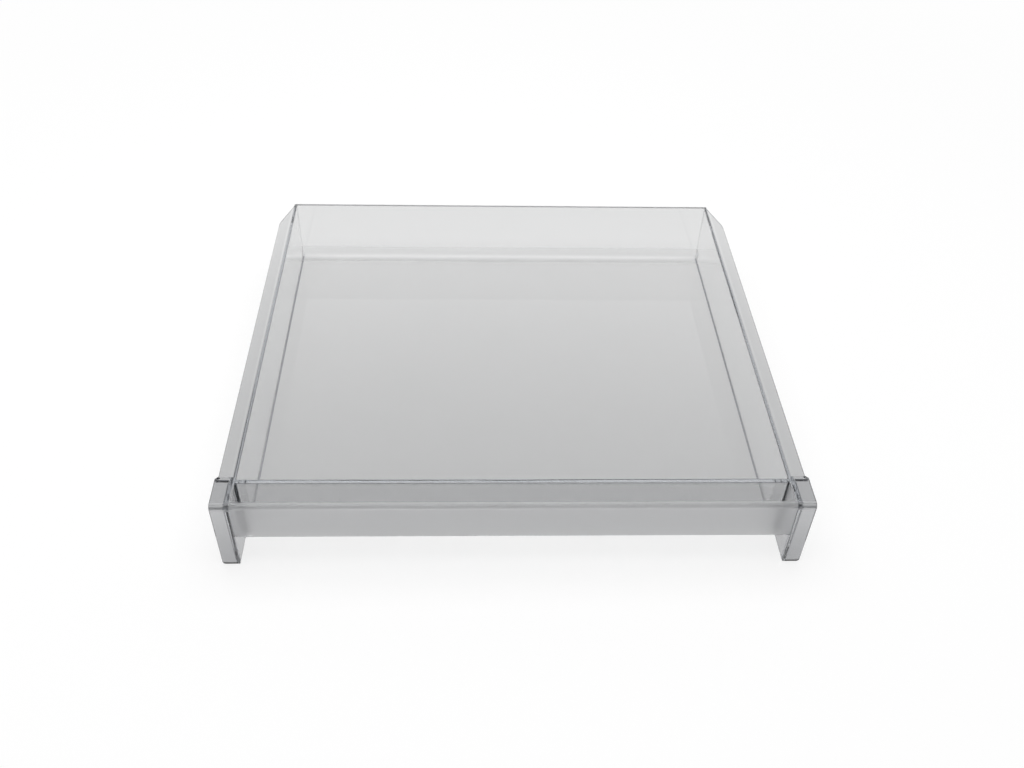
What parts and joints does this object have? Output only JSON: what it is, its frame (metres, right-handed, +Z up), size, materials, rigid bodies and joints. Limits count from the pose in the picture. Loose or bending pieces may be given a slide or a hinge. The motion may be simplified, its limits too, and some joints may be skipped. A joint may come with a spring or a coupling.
{
  "type": "freezer drawer",
  "caption": "Shallow clear moulded freezer drawer: a tray with side flanges that slide on cabinet ledges, a level front ledge with a hanging finger-grip apron, and open end cheeks.",
  "frame": {"origin": "under the middle of the drawer's bounding box, at the level it stands on", "axes": "+X to the right seen from the front, +Y to the back, +Z up"},
  "size_m": [0.457, 0.4384, 0.062],
  "materials": {
    "clear_plastic": "water-clear moulded polystyrene, fine matte on the front face"
  },
  "bodies": {
    "root": {"drawer": "clear_plastic"}
  },
  "joints": []
}
